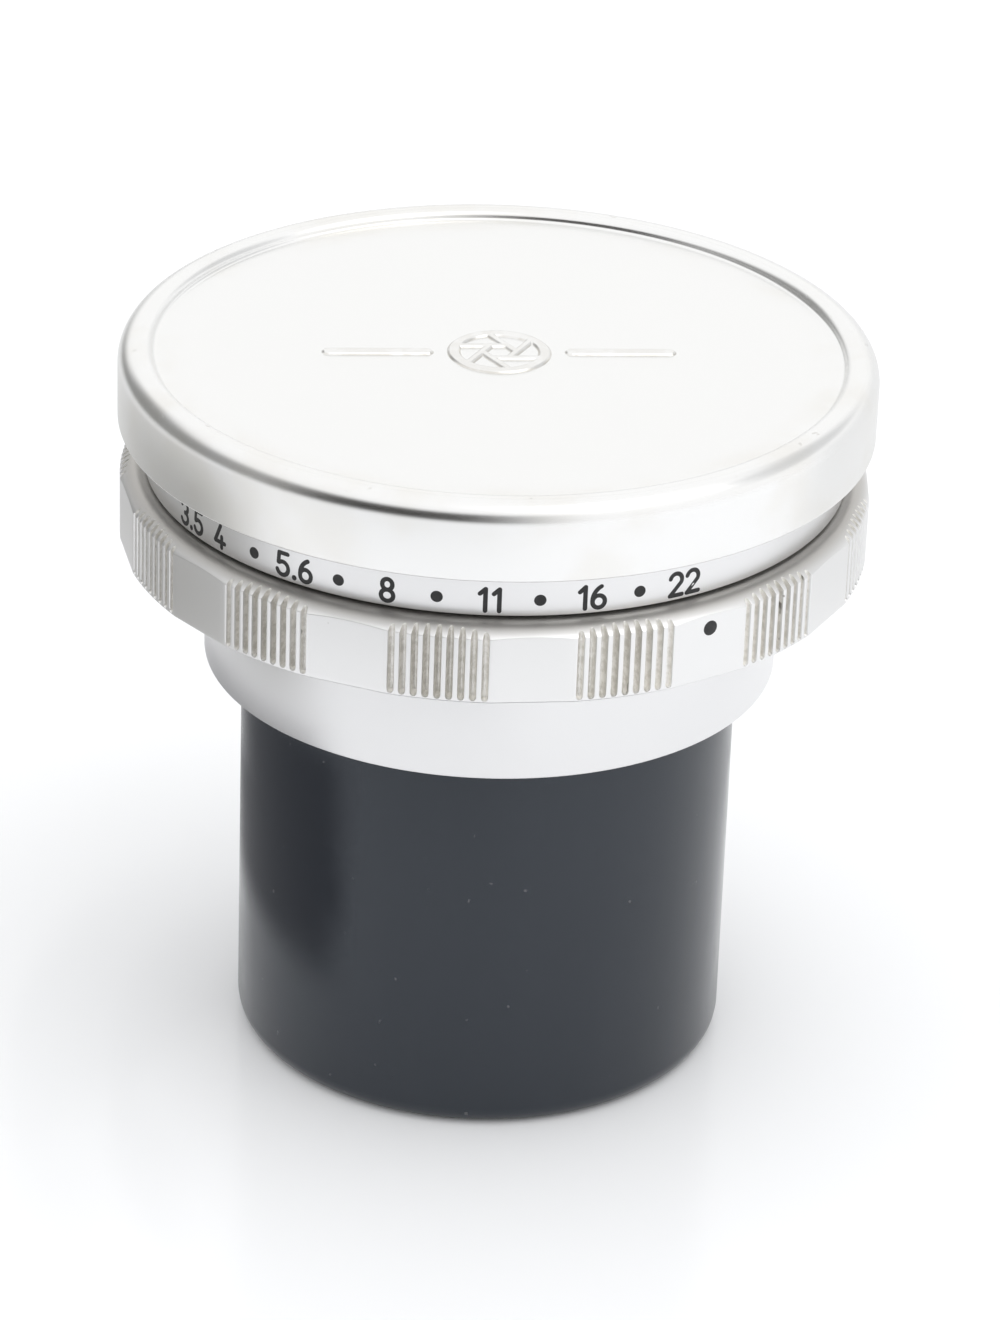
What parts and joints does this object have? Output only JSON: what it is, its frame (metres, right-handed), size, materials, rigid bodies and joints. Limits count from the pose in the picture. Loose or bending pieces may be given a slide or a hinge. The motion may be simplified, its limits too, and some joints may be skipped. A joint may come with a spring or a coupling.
{
  "type": "enlarger lens",
  "caption": "Round lens head with a turning knurled aperture ring over an iris, a slip-on metal front cap and a black tubular rear keeper that it stands on.",
  "frame": {"origin": "centre of the rear keeper's base, on the surface that it stands on", "axes": "+Z along the optical axis towards the front cap; -Y is the side with the stop numbers, between the widest and the smallest"},
  "size_m": [0.051, 0.051, 0.051],
  "materials": {
    "satin_alloy": "satin anodised",
    "ring_alloy": "satin anodised, knurled",
    "cap_alloy": "satin with a polished rim",
    "thread_alloy": "turned",
    "black_alloy": "black anodised",
    "keeper_black": "moulded gloss",
    "enamel": "enamel fill",
    "felt": "felt",
    "optical_glass": "coated",
    "blued_steel": "blackened spring steel",
    "actuator_brass": "turned",
    "screw_steel": "bright"
  },
  "bodies": {
    "keeper": {"rear_keeper": "keeper_black"},
    "head": {"barrel": "satin_alloy", "rear_spigot": "thread_alloy", "rear_lock_ring": "black_alloy", "rear_cell": "black_alloy", "doublet_negative": "optical_glass", "doublet_positive": "optical_glass", "rear_retainer": "black_alloy", "rear_baffle": "black_alloy", "iris_spacer": "black_alloy", "iris_base": "black_alloy", "iris_cover": "black_alloy", "front_cell": "black_alloy", "middle_element": "optical_glass", "element_spacer": "black_alloy", "front_element": "optical_glass", "front_retainer": "black_alloy", "front_bezel": "black_alloy", "front_ring": "satin_alloy", "scale_numerals": "enamel"},
    "ring": {"aperture_ring": "ring_alloy", "index_dot": "enamel", "drive_screw": "screw_steel", "iris_actuator": "actuator_brass"},
    "cap": {"cap_shell": "cap_alloy", "cap_liner": "felt", "cap_emblem": "cap_alloy"},
    "leaf_1": {"blade_1": "blued_steel"},
    "leaf_2": {"blade_2": "blued_steel"},
    "leaf_3": {"blade_3": "blued_steel"},
    "leaf_4": {"blade_4": "blued_steel"},
    "leaf_5": {"blade_5": "blued_steel"},
    "leaf_6": {"blade_6": "blued_steel"},
    "leaf_7": {"blade_7": "blued_steel"},
    "leaf_8": {"blade_8": "blued_steel"},
    "leaf_9": {"blade_9": "blued_steel"},
    "leaf_10": {"blade_10": "blued_steel"}
  },
  "joints": [
    {"name": "head_lift", "type": "slide", "parent": "keeper", "child": "head", "axis": [0, 0, 1], "range_m": [0, 0.045]},
    {"name": "cap_lift", "type": "slide", "parent": "head", "child": "cap", "axis": [0, 0, 1], "range_m": [0, 0.03]},
    {"name": "ring_turn", "type": "hinge", "parent": "head", "child": "ring", "pos_m": [0, 0, 0.0395], "axis": [0, 0, 1], "range_deg": [-90, 0]},
    {"name": "leaf_1_turn", "type": "hinge", "parent": "head", "child": "leaf_1", "pos_m": [0, -0.0137, 0.036], "axis": [0, 0, 1], "range_deg": [-28.4, 0]},
    {"name": "leaf_2_turn", "type": "hinge", "parent": "head", "child": "leaf_2", "pos_m": [0.00805, -0.01108, 0.036], "axis": [0, 0, 1], "range_deg": [-28.4, 0]},
    {"name": "leaf_3_turn", "type": "hinge", "parent": "head", "child": "leaf_3", "pos_m": [0.01303, -0.00423, 0.036], "axis": [0, 0, 1], "range_deg": [-28.4, 0]},
    {"name": "leaf_4_turn", "type": "hinge", "parent": "head", "child": "leaf_4", "pos_m": [0.01303, 0.00423, 0.036], "axis": [0, 0, 1], "range_deg": [-28.4, 0]},
    {"name": "leaf_5_turn", "type": "hinge", "parent": "head", "child": "leaf_5", "pos_m": [0.00805, 0.01108, 0.036], "axis": [0, 0, 1], "range_deg": [-28.4, 0]},
    {"name": "leaf_6_turn", "type": "hinge", "parent": "head", "child": "leaf_6", "pos_m": [0, 0.0137, 0.036], "axis": [0, 0, 1], "range_deg": [-28.4, 0]},
    {"name": "leaf_7_turn", "type": "hinge", "parent": "head", "child": "leaf_7", "pos_m": [-0.00805, 0.01108, 0.036], "axis": [0, 0, 1], "range_deg": [-28.4, 0]},
    {"name": "leaf_8_turn", "type": "hinge", "parent": "head", "child": "leaf_8", "pos_m": [-0.01303, 0.00423, 0.036], "axis": [0, 0, 1], "range_deg": [-28.4, 0]},
    {"name": "leaf_9_turn", "type": "hinge", "parent": "head", "child": "leaf_9", "pos_m": [-0.01303, -0.00423, 0.036], "axis": [0, 0, 1], "range_deg": [-28.4, 0]},
    {"name": "leaf_10_turn", "type": "hinge", "parent": "head", "child": "leaf_10", "pos_m": [-0.00805, -0.01108, 0.036], "axis": [0, 0, 1], "range_deg": [-28.4, 0]}
  ],
  "couplings": [
    {"joint": "leaf_1_turn", "follows": "ring_turn", "ratio": 0.31444},
    {"joint": "leaf_2_turn", "follows": "ring_turn", "ratio": 0.31444},
    {"joint": "leaf_3_turn", "follows": "ring_turn", "ratio": 0.31444},
    {"joint": "leaf_4_turn", "follows": "ring_turn", "ratio": 0.31444},
    {"joint": "leaf_5_turn", "follows": "ring_turn", "ratio": 0.31444},
    {"joint": "leaf_6_turn", "follows": "ring_turn", "ratio": 0.31444},
    {"joint": "leaf_7_turn", "follows": "ring_turn", "ratio": 0.31444},
    {"joint": "leaf_8_turn", "follows": "ring_turn", "ratio": 0.31444},
    {"joint": "leaf_9_turn", "follows": "ring_turn", "ratio": 0.31444},
    {"joint": "leaf_10_turn", "follows": "ring_turn", "ratio": 0.31444}
  ]
}
